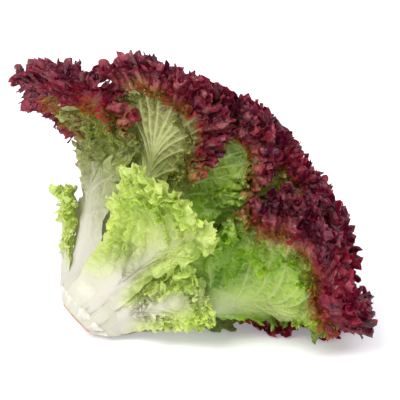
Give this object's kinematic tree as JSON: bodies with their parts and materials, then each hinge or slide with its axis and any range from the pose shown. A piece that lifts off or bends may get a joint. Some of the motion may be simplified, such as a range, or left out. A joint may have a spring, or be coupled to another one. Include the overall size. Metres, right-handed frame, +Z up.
{
  "type": "lollo rosso lettuce",
  "caption": "Head of loose-leaf lettuce with frilled burgundy crowns and pale green ribs, cut at the stem and lying on its side.",
  "frame": {"origin": "on the table, below the middle of the head's box", "axes": "+Z up from the table; +X from the cut stem towards the crown, as seen from the side that shows best; +Y away from that side"},
  "size_m": [0.2261, 0.2446, 0.1904],
  "materials": {
    "leaf": "soft, slightly waxy leaf: dark burgundy at the crown, bright green below, with a pale midrib",
    "young_leaf": "soft, slightly waxy leaf, lime green to its frilled margin",
    "stem": "moist cream-white stem with a cut face that has dried a little brown at the edge"
  },
  "bodies": {
    "root": {"stem": "stem", "leaf_upper_left": "leaf", "leaf_table": "leaf", "leaf_front_lower": "leaf", "leaf_front_upper": "leaf", "leaf_back_left": "leaf", "leaf_back_right": "leaf", "leaf_front_middle": "leaf", "leaf_front_fold": "leaf", "leaf_front_short": "young_leaf", "leaf_low_short": "young_leaf", "leaf_left_short": "young_leaf", "leaf_inner_front": "leaf", "leaf_inner_back": "leaf", "leaf_inner_right": "leaf", "leaf_heart_left": "leaf", "leaf_heart_right": "leaf", "leaf_heart": "leaf"}
  },
  "joints": []
}
